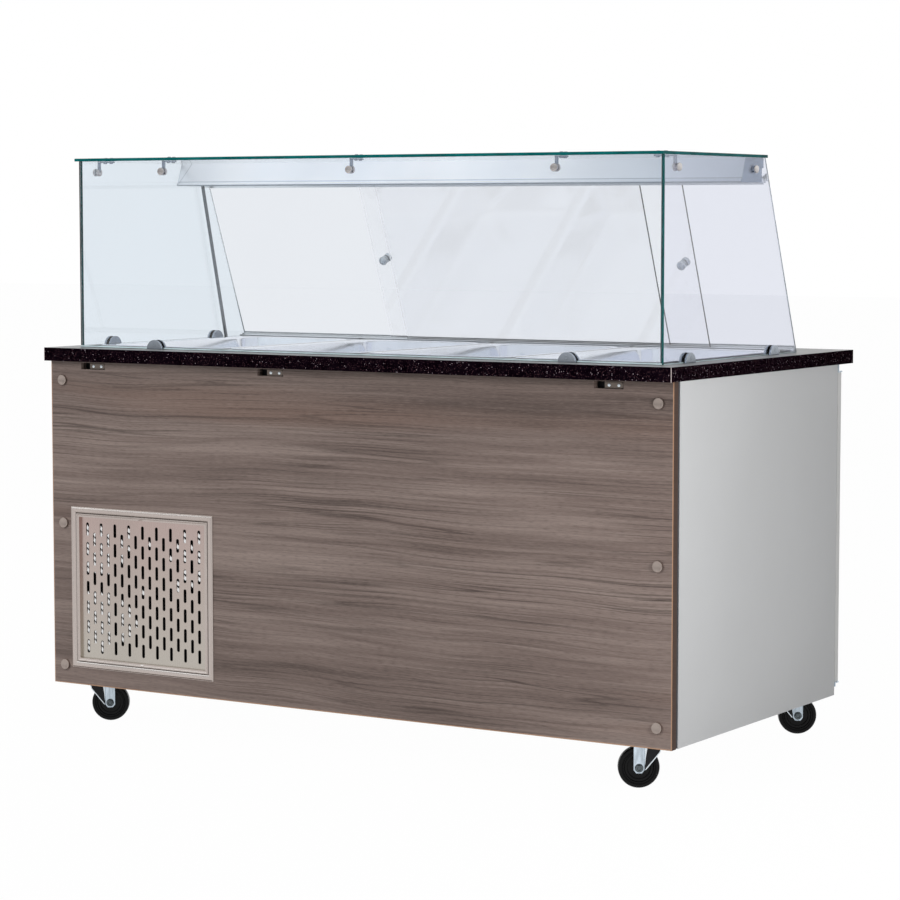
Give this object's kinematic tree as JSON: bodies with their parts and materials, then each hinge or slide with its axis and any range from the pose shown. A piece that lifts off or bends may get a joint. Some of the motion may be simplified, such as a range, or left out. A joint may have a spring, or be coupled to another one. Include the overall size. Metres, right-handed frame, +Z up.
{
  "type": "mobile salad bar",
  "caption": "Wheeled refrigerated serving counter with recessed food pans under a glass guard, wood-grain front, vent grille, sliding rear glass and cupboard doors.",
  "frame": {"origin": "on the floor, under the middle of the object's box", "axes": "+X along the counter, to the right as the customer sees it; +Y from the customer's side to the server's side; +Z up"},
  "size_m": [1.51, 0.822, 1.2143],
  "materials": {
    "top_board": "satin",
    "speckled_edging": "glossy",
    "grained_board": "satin",
    "cap_plastic": "satin",
    "bracket_steel": "satin",
    "grille_steel": "brushed",
    "white_sheet": "satin",
    "frame_steel": "satin",
    "inner_board": "satin",
    "inner_sheet": "satin",
    "black_plastic": "matte",
    "switch_plastic": "glossy",
    "door_board": "satin",
    "zinc": "satin",
    "bright_steel": "brushed",
    "well_steel": "brushed",
    "foam": "matte",
    "pan_steel": "satin",
    "drain_brass": "satin",
    "lever_plastic": "satin",
    "black_enamel": "glossy",
    "fin_aluminium": "satin",
    "shroud_sheet": "satin",
    "motor_metal": "cast",
    "copper_tube": "satin",
    "clear_glass": "clear",
    "clamp_chrome": "polished",
    "canopy_metal": "satin",
    "lamp_diffuser": "matte",
    "post_metal": "satin",
    "track_metal": "satin",
    "door_glass": "clear",
    "knob_chrome": "polished",
    "wheel_black": "satin"
  },
  "bodies": {
    "body": {"worktop": "top_board", "edge_band": "speckled_edging", "front_panel": "grained_board", "panel_caps": "cap_plastic", "tray_brackets": "bracket_steel", "vent_grille": "grille_steel", "end_panel_left": "white_sheet", "end_panel_right": "white_sheet", "chassis_frame": "frame_steel", "base_floor": "inner_board", "bay_divider": "inner_sheet", "shelf": "inner_board", "service_panel": "white_sheet", "control_box": "black_plastic", "door_pivots": "zinc", "well_tub": "well_steel", "well_insulation": "foam", "pan_bars": "well_steel", "drain_pipe": "drain_brass", "compressor": "black_enamel", "condenser": "fin_aluminium", "fan_shroud": "shroud_sheet", "fan_motor": "motor_metal", "refrigerant_pipes": "copper_tube", "front_glass": "clear_glass", "end_glass_left": "clear_glass", "end_glass_right": "clear_glass", "top_glass": "clear_glass", "foot_clamps": "clamp_chrome", "glass_brackets": "clamp_chrome", "light_canopy": "canopy_metal", "lamp": "lamp_diffuser", "conduit_post": "post_metal", "door_tracks": "track_metal", "castor_plates": "zinc"},
    "castor_front_left": {"castor_fork_front_left": "zinc"},
    "castor_wheel_front_left": {"wheel_front_left": "wheel_black"},
    "castor_front_right": {"castor_fork_front_right": "zinc"},
    "castor_wheel_front_right": {"wheel_front_right": "wheel_black"},
    "castor_rear_left": {"castor_fork_rear_left": "zinc"},
    "castor_wheel_rear_left": {"wheel_rear_left": "wheel_black"},
    "castor_rear_right": {"castor_fork_rear_right": "zinc"},
    "castor_wheel_rear_right": {"wheel_rear_right": "wheel_black"},
    "sliding_left": {"sliding_door_left": "door_glass", "door_knob_left": "knob_chrome"},
    "sliding_right": {"sliding_door_right": "door_glass", "door_knob_right": "knob_chrome"},
    "cupboard_left": {"rear_door_left": "door_board", "door_handle_left": "bright_steel"},
    "cupboard_right": {"rear_door_right": "door_board", "door_handle_right": "bright_steel"},
    "pan_a": {"pan_1": "pan_steel"},
    "pan_b": {"pan_2": "pan_steel"},
    "pan_c": {"pan_3": "pan_steel"},
    "pan_d": {"pan_4": "pan_steel"},
    "fan_rotor": {"fan": "black_plastic"},
    "drain_handle": {"drain_lever": "lever_plastic"},
    "power_rocker": {"power_switch": "switch_plastic"},
    "light_rocker": {"light_switch": "switch_plastic"},
    "thermostat": {"thermostat_dial": "switch_plastic"}
  },
  "joints": [
    {"name": "swivel_front_left", "type": "hinge", "parent": "body", "child": "castor_front_left", "pos_m": [-0.683, -0.333, 0.096], "axis": [0, 0, 1], "continuous": true},
    {"name": "roll_front_left", "type": "hinge", "parent": "castor_front_left", "child": "castor_wheel_front_left", "pos_m": [-0.65756, -0.3171, 0.04], "axis": [-0.5299, 0.848, 0], "continuous": true},
    {"name": "swivel_front_right", "type": "hinge", "parent": "body", "child": "castor_front_right", "pos_m": [0.683, -0.333, 0.096], "axis": [0, 0, 1], "continuous": true},
    {"name": "roll_front_right", "type": "hinge", "parent": "castor_front_right", "child": "castor_wheel_front_right", "pos_m": [0.65756, -0.3489, 0.04], "axis": [0.5299, -0.848, 0], "continuous": true},
    {"name": "swivel_rear_left", "type": "hinge", "parent": "body", "child": "castor_rear_left", "pos_m": [-0.648, 0.311, 0.096], "axis": [0, 0, 1], "continuous": true},
    {"name": "roll_rear_left", "type": "hinge", "parent": "castor_rear_left", "child": "castor_wheel_rear_left", "pos_m": [-0.62256, 0.3269, 0.04], "axis": [-0.5299, 0.848, 0], "continuous": true},
    {"name": "swivel_rear_right", "type": "hinge", "parent": "body", "child": "castor_rear_right", "pos_m": [0.648, 0.311, 0.096], "axis": [0, 0, 1], "continuous": true},
    {"name": "roll_rear_right", "type": "hinge", "parent": "castor_rear_right", "child": "castor_wheel_rear_right", "pos_m": [0.67344, 0.3269, 0.04], "axis": [-0.5299, 0.848, 0], "continuous": true},
    {"name": "slide_left_door", "type": "slide", "parent": "body", "child": "sliding_left", "axis": [1, 0, 0], "range_m": [-0.413, 0.008]},
    {"name": "slide_right_door", "type": "slide", "parent": "body", "child": "sliding_right", "axis": [1, 0, 0], "range_m": [-0.008, 0.186]},
    {"name": "cupboard_left_hinge", "type": "hinge", "parent": "body", "child": "cupboard_left", "pos_m": [-0.284, 0.357, 0.44], "axis": [0, 0, 1], "range_deg": [0, 110]},
    {"name": "cupboard_right_hinge", "type": "hinge", "parent": "body", "child": "cupboard_right", "pos_m": [0.745, 0.357, 0.44], "axis": [0, 0, -1], "range_deg": [0, 110]},
    {"name": "pan_1_tip", "type": "hinge", "parent": "body", "child": "pan_a", "pos_m": [-0.519, 0.216, 0.8118], "axis": [-1, 0, 0], "range_deg": [0, 15]},
    {"name": "pan_2_tip", "type": "hinge", "parent": "body", "child": "pan_b", "pos_m": [-0.173, 0.216, 0.8118], "axis": [-1, 0, 0], "range_deg": [0, 15]},
    {"name": "pan_3_tip", "type": "hinge", "parent": "body", "child": "pan_c", "pos_m": [0.173, 0.216, 0.8118], "axis": [-1, 0, 0], "range_deg": [0, 15]},
    {"name": "pan_4_tip", "type": "hinge", "parent": "body", "child": "pan_d", "pos_m": [0.519, 0.216, 0.8118], "axis": [-1, 0, 0], "range_deg": [0, 15]},
    {"name": "fan_spin", "type": "hinge", "parent": "body", "child": "fan_rotor", "pos_m": [-0.5115, -0.292, 0.289], "axis": [0, 1, 0], "continuous": true},
    {"name": "drain_lever_turn", "type": "hinge", "parent": "body", "child": "drain_handle", "pos_m": [-0.23, 0.198, 0.5785], "axis": [0, 1, 0], "range_deg": [0, 90]},
    {"name": "power_rocker_tilt", "type": "hinge", "parent": "body", "child": "power_rocker", "pos_m": [-0.374, 0.36, 0.67], "axis": [1, 0, 0], "range_deg": [-12, 0]},
    {"name": "light_rocker_tilt", "type": "hinge", "parent": "body", "child": "light_rocker", "pos_m": [-0.416, 0.36, 0.67], "axis": [1, 0, 0], "range_deg": [-12, 0]},
    {"name": "thermostat_turn", "type": "hinge", "parent": "body", "child": "thermostat", "pos_m": [-0.502, 0.361, 0.67], "axis": [0, -1, 0], "range_deg": [0, 270]}
  ]
}
